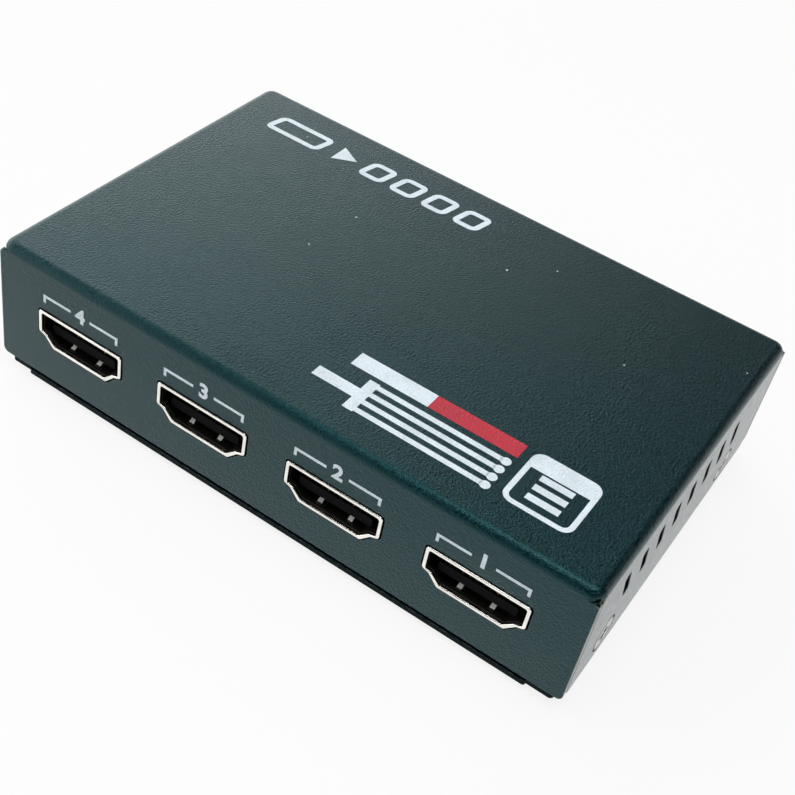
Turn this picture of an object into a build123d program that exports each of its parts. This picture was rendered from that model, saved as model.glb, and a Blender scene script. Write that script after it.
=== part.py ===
from build123d import *
import os

# One-input, four-output video splitter in a case of bent sheet steel.
# Millimetres, +Z up. The origin lies on the surface that the case stands on, under its middle.
# The four outputs face -Y. The input, the lamp and the power jack face +Y.

os.makedirs("parts", exist_ok=True)

# Case
case_width = 94.0
case_depth = 61.0
cover_height = 20.0
sheet = 0.8
bend_radius = 1.35
tray_slit = 0.6
foot_height = 1.0
fit_gap = 0.1
overrun = 1.0

# Ports in the front, counted from the right
port_count = 4
port_pitch = 21.5
port_drop = 10.85
port_proud = 0.2
port_gap = 0.25

# Board
board_thickness = 1.6
board_side_gap = 4.4
board_end_gap = 0.5
board_width = case_width - 2 * board_side_gap
board_depth = case_depth - 2 * (sheet + board_end_gap)

# Heights worked out from the stack: feet, tray, slit, cover
tray_low = foot_height
tray_floor = tray_low + sheet
cover_low = tray_floor + tray_slit
cover_top = cover_low + cover_height
front = -case_depth / 2
rear = case_depth / 2
mouth_reach = case_depth / 2 + port_proud
port_axis = cover_top - port_drop

# Connector body, its flared mouth and its outline as shares of width and height
mouth_width = 15.0
mouth_height = 5.9
mouth_lip = 0.35
mouth_flare = 0.35
lip_round = 0.12
body_width = 14.6
body_height = 5.45
body_depth = 10.6
shell_sheet = 0.3
port_corner = 0.5
outline_shares = ((0.5, 0.5), (0.5, -0.16), (0.424, -0.23), (0.326, -0.5))

board_top = port_axis - body_height / 2
board_low = board_top - board_thickness


def facing_front(x, z, reach=mouth_reach):
    """Plane across an opening that faces -Y, with its local Y upwards."""
    return Plane(origin=(x, -reach, z), x_dir=(1, 0, 0), z_dir=(0, -1, 0))


def facing_rear(x, z, reach=mouth_reach):
    """Plane across an opening that faces +Y, with its local Y upwards."""
    return Plane(origin=(x, reach, z), x_dir=(-1, 0, 0), z_dir=(0, 1, 0))


def port_outline(width, height, corner, grow=0.0):
    """Sketch of a port: wide on top, drawn in below a shoulder on each side."""
    right = [(width * x, height * y) for x, y in outline_shares]
    left = [(-x, y) for x, y in reversed(right)]
    with BuildSketch() as outline:
        with BuildLine():
            Polyline(*right, *left, close=True)
        make_face()
        fillet(outline.vertices(), radius=corner)
        if grow:
            offset(amount=grow, mode=Mode.REPLACE)
    return outline.sketch


# Where things sit on the front and rear walls
output_places = [port_pitch * (index - (port_count - 1) / 2) for index in range(port_count)]
input_place = -14.0
jack_place = 24.0
lamp_place = 8.0
output_planes = [facing_front(x, port_axis) for x in reversed(output_places)]
input_plane = facing_rear(input_place, port_axis)

# Power jack
jack_width = 9.0
jack_height = 11.0
jack_length = 14.0
jack_axis_height = 6.5
jack_axis = board_top + jack_axis_height
jack_nose = 7.8
jack_bore = 6.3
jack_bore_depth = 9.5
jack_gap = 0.3
jack_plane = facing_rear(jack_place, jack_axis)

# Lamp
lamp_diameter = 3.0
lamp_axis_height = 3.4
lamp_axis = board_top + lamp_axis_height
lamp_gap = 0.15
lamp_plane = facing_rear(lamp_place, lamp_axis, rear)

# Vents in the side walls
vent_count = 8
vent_pitch = 5.07
vent_first = 11.1
vent_drop = 7.7
vent_length = 6.3
vent_width = 1.6
vent_lean = 23.5

# Side screws
screw_from_front = 9.6
screw_spacing = 39.5
screw_drop = 16.0
screw_head = 5.5
screw_shank = 2.9
screw_length = 4.0
thread_gap = 0.05
head_gap = 0.05
recess_width = 0.62
recess_span = 3.0
recess_depth = 1.1
recess_taper = 8.0
screw_axis = cover_top - screw_drop
screw_places = [front + screw_from_front, front + screw_from_front + screw_spacing]
screw_cone = (screw_head - screw_shank) / 2

# Cover: one bent sheet, open along its four upright corners
corner_seam = 0.3
corner_round = 1.9
corner_ledge = 0.3
relief_radius = 0.4
flap_corner = 0.9

with BuildPart() as top_cover:
    with BuildSketch(Plane.XY.offset(cover_low)):
        Rectangle(case_width, case_depth)
    extrude(amount=cover_height - bend_radius - corner_ledge)
    with BuildSketch(Plane.XY.offset(cover_top - bend_radius - corner_ledge)):
        RectangleRounded(case_width, case_depth, corner_round)
    extrude(amount=bend_radius + corner_ledge)
    fillet(top_cover.faces().sort_by(Axis.Z)[-1].edges(), radius=bend_radius)
    with BuildSketch(Plane.XY.offset(cover_low)):
        Rectangle(case_width - 2 * sheet, case_depth - 2 * sheet)
    extrude(amount=cover_height - sheet, mode=Mode.SUBTRACT)
    ceiling = top_cover.faces().filter_by(Axis.Z).sort_by(Axis.Z)[-2]
    fillet(ceiling.edges(), radius=bend_radius - sheet)
    # upright seams, each with a small relief hole where the bends meet
    seam_height = cover_height - bend_radius - corner_ledge
    seam_start = case_depth / 2 - sheet - corner_seam / 2
    with BuildSketch(Plane.XY.offset(cover_low)):
        with GridLocations(case_width, 2 * seam_start, 2, 2):
            Rectangle(2 * (corner_round + sheet), corner_seam)
    extrude(amount=seam_height, mode=Mode.SUBTRACT)
    for side in (-1, 1):
        for end in (-1, 1):
            relief_start = (
                side * (case_width / 2 - corner_round),
                end * (case_depth / 2 - corner_round),
                cover_top - bend_radius,
            )
            with BuildSketch(Plane(origin=relief_start, z_dir=(side, end, 0))):
                Circle(relief_radius)
            extrude(amount=2 * corner_round, mode=Mode.SUBTRACT)
    # flap corners are rounded below
    low_edges = top_cover.edges().group_by(Axis.Z)[0]
    fillet(low_edges.filter_by(Axis.Y).sort_by(SortBy.LENGTH)[:4], radius=flap_corner)
    low_edges = top_cover.edges().group_by(Axis.Z)[0]
    fillet(low_edges.filter_by(Axis.X).sort_by(SortBy.LENGTH)[:4], radius=flap_corner)
    # openings for the connectors, the lamp and the power jack
    for port_plane in output_planes + [input_plane]:
        with BuildSketch(port_plane):
            add(port_outline(mouth_width, mouth_height, port_corner, port_gap))
        extrude(amount=-port_proud - sheet - overrun, mode=Mode.SUBTRACT)
    with BuildSketch(jack_plane):
        Circle(jack_nose / 2 + jack_gap)
    extrude(amount=-port_proud - sheet - overrun, mode=Mode.SUBTRACT)
    with BuildSketch(lamp_plane.offset(overrun)):
        Circle(lamp_diameter / 2 + lamp_gap)
    extrude(amount=-sheet - 2 * overrun, mode=Mode.SUBTRACT)
    # slanted vents through both side walls, leaning forward at the top
    with BuildSketch(Plane.YZ) as vents:
        for index in range(vent_count):
            vent_y = front + vent_first + vent_pitch * index
            with Locations((vent_y, cover_top - vent_drop)):
                SlotOverall(vent_length, vent_width, rotation=90 + vent_lean)
    extrude(amount=case_width, both=True, mode=Mode.SUBTRACT)
    # countersunk holes for the side screws
    for side in (-1, 1):
        for place in screw_places:
            outside = Plane(origin=(side * case_width / 2, place, screw_axis), z_dir=(side, 0, 0))
            with Locations(outside):
                Hole(screw_shank / 2 + thread_gap + fit_gap, depth=2 * sheet)
            with BuildSketch(outside):
                Circle(screw_head / 2 + head_gap)
            extrude(amount=-screw_cone - head_gap, taper=45, mode=Mode.SUBTRACT)

top_cover.part.label = "top_cover"
export_step(top_cover.part, "parts/top_cover.step")


# Tray: floor under the cover's edges, sills flush with its front and rear, flanges inside its sides
flange_set_back = 3.0
flange_above_screw = 3.6
tray_bend = 1.2
sill_end_gap = 5.0
sill_depth = 0.5
tray_corner = 0.6
flange_x = case_width / 2 - sheet - fit_gap - sheet / 2
flange_top = screw_axis + flange_above_screw
flange_length = case_depth - 2 * flange_set_back
sill_reach = case_width / 2 - sill_end_gap

# Board mountings
mounting_side_inset = 4.2
mounting_front_inset = 14.7
mounting_rear_inset = 4.7
standoff_diameter = 5.2
rivet_diameter = 3.8
board_screw_shank = 2.9
board_screw_length = 5.6
board_screw_head = 5.5
board_screw_head_height = 1.9
board_hole = 3.3
mounting_rows = (mounting_front_inset - board_depth / 2, board_depth / 2 - mounting_rear_inset)
mounting_places = [
    (side * (board_width / 2 - mounting_side_inset), row) for side in (-1, 1) for row in mounting_rows
]

with BuildPart() as bottom_tray:
    with BuildSketch(Plane.XZ):
        with BuildLine():
            FilletPolyline(
                (-flange_x, flange_top),
                (-flange_x, tray_low + sheet / 2),
                (flange_x, tray_low + sheet / 2),
                (flange_x, flange_top),
                radius=tray_bend - sheet / 2,
            )
        trace(line_width=sheet)
    extrude(amount=flange_length / 2, both=True)
    with BuildSketch(Plane.XY.offset(tray_low)):
        RectangleRounded(
            2 * flange_x + sheet - tray_bend / 2, case_depth - 2 * sill_depth, tray_corner
        )
        RectangleRounded(2 * sill_reach, case_depth, sill_depth - fit_gap)
        Rectangle(2 * flange_x, flange_length, mode=Mode.SUBTRACT)
    extrude(amount=sheet)
    # riveting holes for the standoffs
    with BuildSketch(Plane.XY.offset(tray_low)):
        with Locations(mounting_places):
            Circle(rivet_diameter / 2)
    extrude(amount=sheet, mode=Mode.SUBTRACT)
    # tapped holes for the side screws, opened where the screw's cone reaches in
    for side in (-1, 1):
        for place in screw_places:
            outside = Plane(origin=(side * case_width / 2, place, screw_axis), z_dir=(side, 0, 0))
            with Locations(outside):
                Hole(screw_shank / 2 + thread_gap, depth=3 * sheet)
            with BuildSketch(outside):
                Circle(screw_head / 2 + head_gap)
            extrude(amount=-screw_cone - head_gap, taper=45, mode=Mode.SUBTRACT)

bottom_tray.part.label = "bottom_tray"
export_step(bottom_tray.part, "parts/bottom_tray.step")


def cross_sketch(span, width):
    """Sketch of a cross recess."""
    with BuildSketch() as cross:
        Rectangle(span, width)
        Rectangle(width, span)
    return cross.sketch


with BuildPart() as side_screws:
    for side in (-1, 1):
        for place in screw_places:
            outside = Plane(origin=(side * case_width / 2, place, screw_axis), z_dir=(side, 0, 0))
            with BuildSketch(outside):
                Circle(screw_head / 2)
            extrude(amount=-screw_cone, taper=45)
            with BuildSketch(outside):
                Circle(screw_shank / 2)
            extrude(amount=-screw_length)
            with BuildSketch(outside):
                add(cross_sketch(recess_span, recess_width))
            extrude(amount=-recess_depth, taper=recess_taper, mode=Mode.SUBTRACT)

side_screws.part.label = "side_screws"
export_step(side_screws.part, "parts/side_screws.step")

# Standoffs are riveted into the floor and tapped from above
with BuildPart() as board_standoffs:
    with BuildSketch(Plane.XY.offset(tray_floor)):
        with Locations(mounting_places):
            Circle(standoff_diameter / 2)
    extrude(amount=board_low - tray_floor)
    with BuildSketch(Plane.XY.offset(tray_low)):
        with Locations(mounting_places):
            Circle(rivet_diameter / 2)
    extrude(amount=sheet)
    with BuildSketch(Plane.XY.offset(board_low)):
        with Locations(mounting_places):
            Circle(board_screw_shank / 2 + thread_gap)
    extrude(amount=-(board_low - tray_low) + sheet, mode=Mode.SUBTRACT)

board_standoffs.part.label = "board_standoffs"
export_step(board_standoffs.part, "parts/board_standoffs.step")

with BuildPart() as board_screws:
    for place in mounting_places:
        seat = Plane(origin=(*place, board_top))
        with BuildSketch(seat):
            Circle(board_screw_head / 2)
        extrude(amount=board_screw_head_height)
        with BuildSketch(seat):
            Circle(board_screw_shank / 2)
        extrude(amount=-board_screw_length)
        with BuildSketch(seat.offset(board_screw_head_height)):
            add(cross_sketch(recess_span, recess_width))
        extrude(amount=-recess_depth, taper=recess_taper, mode=Mode.SUBTRACT)
    rims = board_screws.faces().filter_by(Axis.Z).group_by(Axis.Z)[-1].edges()
    fillet(rims.filter_by(GeomType.CIRCLE).filter_by(lambda e: e.radius > recess_span / 2),
           radius=board_screw_head_height / 3)

board_screws.part.label = "board_screws"
export_step(board_screws.part, "parts/board_screws.step")

# Stick-on feet under the tray
foot_diameter = 8.0
foot_side_inset = 16.0
foot_end_inset = 8.5
foot_edge = 0.3

with BuildPart() as rubber_feet:
    with BuildSketch():
        with GridLocations(
            case_width - 2 * foot_side_inset, case_depth - 2 * foot_end_inset, 2, 2
        ):
            Circle(foot_diameter / 2)
    extrude(amount=foot_height)
    fillet(rubber_feet.edges().group_by(Axis.Z)[0], radius=foot_edge)

rubber_feet.part.label = "rubber_feet"
export_step(rubber_feet.part, "parts/rubber_feet.step")

# Connectors: metal shell, plastic tongue and nineteen contacts in two rows
leg_width = 1.2
leg_below_board = 0.6
leg_depth_shares = (0.3, 0.79)
leg_slot_gap = 0.15
finger_spacing = 4.8
finger_width = 0.7
finger_window = 1.6
finger_start = 5.2
window_set_back = 0.2
finger_bump = 2.0
finger_tip = 1.1
finger_rise = 0.5
finger_sheet = 0.2
tongue_width = 11.4
tongue_top = 0.62
tongue_thickness = 1.5
tongue_set_back = 1.0
block_start = 6.6
contact_pitch = 1.0
contact_width = 0.3
contact_sheet = 0.15
contact_set_back = 1.3
contact_tail = 0.7
top_row_bends = 3
low_row_bends = 0.5
top_contacts = 10
low_contacts = 9
port_height_above_board = port_axis - board_top
window_start = mouth_lip + mouth_flare + window_set_back
leg_depths = [body_depth * share for share in leg_depth_shares]


def across(mouth, place=0.0):
    """Upright plane along a connector: local X runs inwards from the mouth, local Y upwards."""
    origin = mouth.from_local_coords((place, 0, 0))
    return Plane(origin=origin, x_dir=-mouth.z_dir, z_dir=mouth.x_dir)


def row_places(count, pitch):
    """Evenly spaced places about zero."""
    return [pitch * (index - (count - 1) / 2) for index in range(count)]


contact_rows = (
    (row_places(top_contacts, contact_pitch), tongue_top - contact_sheet / 2, top_row_bends * contact_tail),
    (
        row_places(low_contacts, contact_pitch),
        tongue_top - tongue_thickness + contact_sheet / 2,
        low_row_bends * contact_tail,
    ),
)


def body_outline(shrink=0.0):
    """Outline of a connector's body, drawn in by an even amount."""
    return port_outline(body_width - 2 * shrink, body_height - 2 * shrink, port_corner - shrink / 2)


def connector_shell(mouth):
    """Folded metal shell with a rolled lip, spring fingers and four board legs."""
    neck = mouth.offset(-mouth_lip)
    throat = mouth.offset(-mouth_lip - mouth_flare)
    back = mouth.offset(-body_depth)
    with BuildPart() as shell:
        with BuildSketch(mouth):
            add(port_outline(mouth_width, mouth_height, port_corner))
        extrude(amount=-mouth_lip)
        with BuildSketch(neck):
            add(port_outline(mouth_width, mouth_height, port_corner))
        with BuildSketch(throat):
            add(body_outline())
        loft(ruled=True)
        with BuildSketch(back):
            add(body_outline())
        extrude(amount=body_depth - mouth_lip - mouth_flare)
        with BuildSketch(back):
            add(body_outline(shell_sheet))
        extrude(amount=body_depth, mode=Mode.SUBTRACT)
        rim = shell.faces().filter_by(Axis.Y).sort_by(Axis((0, 0, 0), mouth.z_dir))[-1]
        fillet(rim.edges(), radius=lip_round)
        for place in row_places(2, finger_spacing):
            middle = (window_start + finger_start) / 2
            with BuildSketch(across(mouth, place)):
                with Locations((middle, 0)):
                    Rectangle(finger_start - window_start, body_height + 2 * overrun)
            extrude(amount=finger_window / 2, both=True, mode=Mode.SUBTRACT)
            for side in (-1, 1):
                wall = body_height / 2 - shell_sheet
                with BuildSketch(across(mouth, place)):
                    with BuildLine():
                        Polyline(
                            (finger_start + shell_sheet, side * (wall + shell_sheet / 2)),
                            (finger_bump, side * (wall - finger_rise + finger_sheet / 2)),
                            (finger_tip, side * (wall + shell_sheet / 2)),
                        )
                    trace(line_width=finger_sheet)
                extrude(amount=finger_width / 2, both=True)
        leg_top = outline_shares[1][1] * body_height / 2
        leg_low = -port_height_above_board - board_thickness - leg_below_board
        for depth in leg_depths:
            for side in (-1, 1):
                place = side * (body_width - shell_sheet) / 2
                with BuildSketch(across(mouth, place)):
                    with Locations((depth, (leg_top + leg_low) / 2)):
                        Rectangle(leg_width, leg_top - leg_low)
                extrude(amount=shell_sheet / 2, both=True)
    return shell


def connector_insulator(mouth):
    """Plastic block in the back of the shell with the tongue that carries the contacts."""
    with BuildPart() as insulator:
        with BuildSketch(mouth.offset(-body_depth)):
            add(body_outline(shell_sheet + fit_gap / 2))
        extrude(amount=body_depth - block_start)
        with BuildSketch(mouth.offset(-block_start)):
            with Locations((0, tongue_top - tongue_thickness / 2)):
                RectangleRounded(tongue_width, tongue_thickness, tongue_thickness / 5)
        extrude(amount=block_start - tongue_set_back)
        with BuildSketch(mouth.offset(-contact_set_back)):
            for places, strip, drop in contact_rows:
                with Locations([(place, strip) for place in places]):
                    Rectangle(contact_width, contact_sheet)
        extrude(amount=-body_depth, mode=Mode.SUBTRACT)
    return insulator


def connector_contacts(mouth):
    """Contact strips along the tongue, bent down behind the block onto the board."""
    foot = -port_height_above_board + contact_sheet / 2
    with BuildPart() as contacts:
        for places, strip, drop in contact_rows:
            for place in places:
                with BuildSketch(across(mouth, place)):
                    with BuildLine():
                        Polyline(
                            (contact_set_back, strip),
                            (body_depth + drop, strip),
                            (body_depth + drop, foot),
                            (body_depth + drop + contact_tail, foot),
                        )
                    trace(line_width=contact_sheet)
                extrude(amount=contact_width / 2, both=True)
    return contacts


connectors = [(f"output_{index + 1}", plane) for index, plane in enumerate(output_planes)]
connectors.append(("input", input_plane))

for name, mouth in connectors:
    shell = connector_shell(mouth)
    shell.part.label = f"{name}_shell"
    export_step(shell.part, f"parts/{name}_shell.step")
    insulator = connector_insulator(mouth)
    insulator.part.label = f"{name}_insulator"
    export_step(insulator.part, f"parts/{name}_insulator.step")
    contacts = connector_contacts(mouth)
    contacts.part.label = f"{name}_contacts"
    export_step(contacts.part, f"parts/{name}_contacts.step")

# Power jack: moulded housing, centre pin, leaf spring for the plug's sleeve and its terminals
jack_block_start = port_proud + sheet + jack_gap
jack_back = jack_block_start + jack_length
jack_pin_diameter = 2.0
jack_pin_start = 0.8
jack_tag_sheet = 0.4
jack_tag_width = 2.2
tag_below_board = 1.0
tag_slot_gap = 0.15
leaf_width = 3.0
leaf_sheet = 0.3
leaf_side_gap = 0.3
leaf_root = 10.6
leaf_drop = 4.4
leaf_bump = 3.2
leaf_reach = 2.6
leaf_tip = 2.0
leaf_tip_drop = 3.4
leaf_gap = 0.05
channel_start = 1.6
channel_drop = 5.3
terminal_reach = 1.4
tag_low = -jack_axis_height - board_thickness - tag_below_board
terminal_depth = leaf_root + leaf_gap + terminal_reach - jack_tag_sheet / 2

with BuildPart() as power_jack_housing:
    with BuildSketch(jack_plane.offset(-jack_back)):
        with Locations((0, jack_height / 2 - jack_axis_height)):
            Rectangle(jack_width, jack_height)
    extrude(amount=jack_length)
    with BuildSketch(jack_plane):
        Circle(jack_nose / 2)
    extrude(amount=-jack_block_start)
    with BuildSketch(jack_plane):
        Circle(jack_bore / 2)
    extrude(amount=-jack_bore_depth, mode=Mode.SUBTRACT)
    with BuildSketch(jack_plane):
        Circle(jack_pin_diameter / 2)
    extrude(amount=-jack_back, mode=Mode.SUBTRACT)
    # channel for the leaf, and a slot down to the board for its terminal
    channel_top = leaf_reach - leaf_sheet
    with BuildSketch(across(jack_plane)):
        with Locations(((channel_start + leaf_root) / 2, -(channel_top + channel_drop) / 2)):
            Rectangle(leaf_root - channel_start + leaf_gap, channel_drop - channel_top)
        with Locations((leaf_root + leaf_gap + terminal_reach / 2, -leaf_drop)):
            Rectangle(terminal_reach, jack_tag_sheet)
    extrude(amount=leaf_width / 2 + leaf_side_gap, both=True, mode=Mode.SUBTRACT)
    with BuildSketch(across(jack_plane)):
        with Locations((terminal_depth, -(leaf_drop + jack_axis_height) / 2)):
            Rectangle(jack_tag_sheet, jack_axis_height - leaf_drop + 2 * jack_tag_sheet)
    extrude(amount=jack_tag_width / 2, both=True, mode=Mode.SUBTRACT)

power_jack_housing.part.label = "power_jack_housing"
export_step(power_jack_housing.part, "parts/power_jack_housing.step")

with BuildPart() as power_jack_pin:
    with BuildSketch(jack_plane.offset(-jack_pin_start)):
        Circle(jack_pin_diameter / 2)
    extrude(amount=-(jack_back - jack_pin_start))
    fillet(power_jack_pin.faces().sort_by(Axis.Y)[-1].edges(), radius=jack_pin_diameter / 4)
    with BuildSketch(across(jack_plane)):
        tag_top = jack_pin_diameter / 2
        with Locations((jack_back + jack_tag_sheet / 2, (tag_top + tag_low) / 2)):
            Rectangle(jack_tag_sheet, tag_top - tag_low)
    extrude(amount=jack_tag_width / 2, both=True)

power_jack_pin.part.label = "power_jack_pin"
export_step(power_jack_pin.part, "parts/power_jack_pin.step")

with BuildPart() as power_jack_leaf_spring:
    with BuildSketch(across(jack_plane)):
        with BuildLine():
            FilletPolyline(
                (leaf_root, -leaf_drop),
                (leaf_bump, -leaf_reach),
                (leaf_tip, -leaf_tip_drop),
                radius=2 * leaf_sheet,
            )
        trace(line_width=leaf_sheet)
    extrude(amount=leaf_width / 2, both=True)

power_jack_leaf_spring.part.label = "power_jack_leaf_spring"
export_step(power_jack_leaf_spring.part, "parts/power_jack_leaf_spring.step")

with BuildPart() as power_jack_sleeve_terminal:
    with BuildSketch(across(jack_plane)):
        with BuildLine():
            Polyline(
                (leaf_root + leaf_gap, -leaf_drop),
                (terminal_depth, -leaf_drop),
                (terminal_depth, tag_low),
            )
        trace(line_width=jack_tag_sheet)
    extrude(amount=jack_tag_width / 2, both=True)

power_jack_sleeve_terminal.part.label = "power_jack_sleeve_terminal"
export_step(power_jack_sleeve_terminal.part, "parts/power_jack_sleeve_terminal.step")

# Lamp in its right-angle holder
lamp_length = 5.0
lamp_rim = 3.8
lamp_rim_length = 1.0
lamp_set_back = 0.3
lamp_leads = 2.54
lamp_lead = 0.5
holder_width = 5.0
holder_depth = 4.0
holder_wall_back = 1.6
lead_gap = 0.1
lamp_back = lamp_set_back + lamp_length
holder_back = lamp_back + holder_wall_back
lead_drop = holder_back + lamp_lead
lead_low = -lamp_axis_height - board_thickness - tag_below_board

with BuildPart() as power_lamp:
    with BuildSketch(lamp_plane.offset(-lamp_back)):
        Circle(lamp_diameter / 2)
    extrude(amount=lamp_length)
    fillet(power_lamp.faces().sort_by(Axis.Y)[-1].edges(), radius=lamp_diameter / 2 - fit_gap)
    with BuildSketch(lamp_plane.offset(-lamp_back)):
        Circle(lamp_rim / 2)
    extrude(amount=lamp_rim_length)

power_lamp.part.label = "power_lamp"
export_step(power_lamp.part, "parts/power_lamp.step")

with BuildPart() as lamp_holder:
    with BuildSketch(lamp_plane.offset(-holder_back)):
        with Locations((0, (holder_width / 2 - lamp_axis_height) / 2)):
            Rectangle(holder_width, lamp_axis_height + holder_width / 2)
    extrude(amount=holder_depth)
    with BuildSketch(lamp_plane.offset(-lamp_back)):
        Circle(lamp_rim / 2 + fit_gap)
    extrude(amount=holder_depth, mode=Mode.SUBTRACT)
    with BuildSketch(lamp_plane.offset(-holder_back)):
        with Locations([(place, 0) for place in row_places(2, lamp_leads)]):
            Rectangle(lamp_lead + lead_gap, lamp_lead + lead_gap)
    extrude(amount=holder_depth, mode=Mode.SUBTRACT)

lamp_holder.part.label = "lamp_holder"
export_step(lamp_holder.part, "parts/lamp_holder.step")

with BuildPart() as lamp_lead_wires:
    for place in row_places(2, lamp_leads):
        with BuildSketch(across(lamp_plane, place)):
            with BuildLine():
                Polyline((lamp_back, 0), (lead_drop, 0), (lead_drop, lead_low))
            trace(line_width=lamp_lead)
        extrude(amount=lamp_lead / 2, both=True)

lamp_lead_wires.part.label = "lamp_lead_wires"
export_step(lamp_lead_wires.part, "parts/lamp_lead_wires.step")

# Circuit board
board_corner = 1.0
lead_hole = 0.9

with BuildPart() as circuit_board:
    with BuildSketch(Plane.XY.offset(board_low)):
        RectangleRounded(board_width, board_depth, board_corner)
        with Locations(mounting_places):
            Circle(board_hole / 2, mode=Mode.SUBTRACT)
        for name, mouth in connectors:
            for depth in leg_depths:
                for side in (-1, 1):
                    place = side * (body_width - shell_sheet) / 2
                    point = mouth.from_local_coords((place, 0, -depth))
                    with Locations((point.X, point.Y)):
                        Rectangle(
                            shell_sheet + 2 * leg_slot_gap,
                            leg_width + 2 * leg_slot_gap,
                            mode=Mode.SUBTRACT,
                        )
        for depth in (jack_back + jack_tag_sheet / 2, terminal_depth):
            point = jack_plane.from_local_coords((0, 0, -depth))
            with Locations((point.X, point.Y)):
                Rectangle(
                    jack_tag_width + 2 * tag_slot_gap,
                    jack_tag_sheet + 2 * tag_slot_gap,
                    mode=Mode.SUBTRACT,
                )
        for place in row_places(2, lamp_leads):
            point = lamp_plane.from_local_coords((place, 0, -lead_drop))
            with Locations((point.X, point.Y)):
                Circle(lead_hole / 2, mode=Mode.SUBTRACT)
    extrude(amount=board_thickness)

circuit_board.part.label = "circuit_board"
export_step(circuit_board.part, "parts/circuit_board.step")

# Splitter chip with leads on four sides, thermal pad and finned heat sink. Its place is in shares of
# the board's width and depth.
chip_place_share = (0.035, -0.034)
chip_size = 14.0
chip_thickness = 1.4
chip_stand = 0.1
chip_leads = 16
lead_pitch = 0.8
lead_width = 0.35
lead_sheet = 0.15
lead_reach = 1.0
lead_foot = 0.6
pad_size = 12.0
pad_thickness = 0.5
sink_size = 14.0
sink_base = 1.2
sink_height = 6.0
fin_count = 6
fin_thickness = 0.9
chip_top = board_top + chip_stand + chip_thickness
chip_place = (board_width * chip_place_share[0], board_depth * chip_place_share[1])

with BuildPart() as splitter_chip:
    with BuildSketch(Plane(origin=(*chip_place, board_top + chip_stand))):
        Rectangle(chip_size, chip_size)
    extrude(amount=chip_thickness)
    chamfer(splitter_chip.edges().filter_by(Axis.Z), length=lead_reach / 2)

splitter_chip.part.label = "splitter_chip"
export_step(splitter_chip.part, "parts/splitter_chip.step")

with BuildPart() as splitter_chip_leads:
    lead_height = chip_stand + chip_thickness / 2
    for quarter in range(4):
        outwards = Vector(1, 0, 0).rotate(Axis.Z, 90 * quarter)
        along = outwards.rotate(Axis.Z, 90)
        for place in row_places(chip_leads, lead_pitch):
            start = Vector(*chip_place, board_top) + outwards * (chip_size / 2) + along * place
            with BuildSketch(Plane(origin=start, x_dir=outwards, z_dir=-along)):
                with BuildLine():
                    Polyline(
                        (0, lead_height),
                        (lead_reach / 2, lead_height),
                        (lead_reach / 2, lead_sheet / 2),
                        (lead_reach / 2 + lead_foot, lead_sheet / 2),
                    )
                trace(line_width=lead_sheet)
            extrude(amount=lead_width / 2, both=True)

splitter_chip_leads.part.label = "splitter_chip_leads"
export_step(splitter_chip_leads.part, "parts/splitter_chip_leads.step")

with BuildPart() as thermal_pad:
    with BuildSketch(Plane(origin=(*chip_place, chip_top))):
        Rectangle(pad_size, pad_size)
    extrude(amount=pad_thickness)

thermal_pad.part.label = "thermal_pad"
export_step(thermal_pad.part, "parts/thermal_pad.step")

with BuildPart() as heat_sink:
    with BuildSketch(Plane(origin=(*chip_place, chip_top + pad_thickness))):
        Rectangle(sink_size, sink_size)
    extrude(amount=sink_base)
    with BuildSketch(Plane(origin=(*chip_place, chip_top + pad_thickness))):
        fin_pitch = (sink_size - fin_thickness) / (fin_count - 1)
        with Locations([(place, 0) for place in row_places(fin_count, fin_pitch)]):
            Rectangle(fin_thickness, sink_size)
    extrude(amount=sink_height)

heat_sink.part.label = "heat_sink"
export_step(heat_sink.part, "parts/heat_sink.step")

# Smaller parts on the board: width, depth and height of each
control_chip_size = (6.5, 4.4, 1.1)
memory_chip_size = (4.9, 3.9, 1.5)
regulator_size = (6.5, 3.6, 1.6)
inductor_size = (6.0, 6.0, 3.0)
crystal_size = (5.0, 3.2, 1.2)
array_size = (2.5, 1.0, 0.6)
ceramic_size = (0.8, 1.6, 0.8)
resistor_size = (0.8, 1.6, 0.45)

# Their places, in shares of the board's width and depth
block_place_shares = (
    ("control_chip", control_chip_size, ((-0.211, 0.034),)),
    ("memory_chips", memory_chip_size, ((-0.235, -0.137), (-0.34, -0.137))),
    ("voltage_regulators", regulator_size, ((0.182, 0.171), (-0.34, 0.068))),
    ("power_inductor", inductor_size, ((0.317, 0.0),)),
    ("clock_crystal", crystal_size, ((-0.117, 0.103),)),
)


def board_spots(shares):
    """Places on the board for a table of shares of its width and depth."""
    return [(board_width * across_share, board_depth * along_share) for across_share, along_share in shares]


for name, (width, depth, height), shares in block_place_shares:
    with BuildPart() as block:
        with BuildSketch(Plane.XY.offset(board_top)):
            with Locations(board_spots(shares)):
                Rectangle(width, depth)
        extrude(amount=height)
        chamfer(block.edges().group_by(Axis.Z)[-1], length=height / 8)
    block.part.label = name
    export_step(block.part, f"parts/{name}.step")

# Small parts in rows behind each output: how many, how far apart, and their sizes
array_count = 2
array_pitch = 5.0
small_count = 4
small_pitch = 1.8
row_gap = 0.6
row_parts = (
    ("surge_arrays", array_count, array_pitch, array_size),
    ("ceramic_capacitors", small_count, small_pitch, ceramic_size),
    ("chip_resistors", small_count, small_pitch, resistor_size),
)
row_start = body_depth + (top_row_bends + 1) * contact_tail + row_gap

for name, count, pitch, (width, depth, height) in row_parts:
    with BuildPart() as row:
        for plane in output_planes:
            for place in row_places(count, pitch):
                point = plane.from_local_coords((place, 0, -row_start - depth / 2))
                with BuildSketch(Plane(origin=(point.X, point.Y, board_top))):
                    Rectangle(width, depth)
                extrude(amount=height)
    row.part.label = name
    export_step(row.part, f"parts/{name}.step")
    row_start += depth + row_gap

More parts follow.
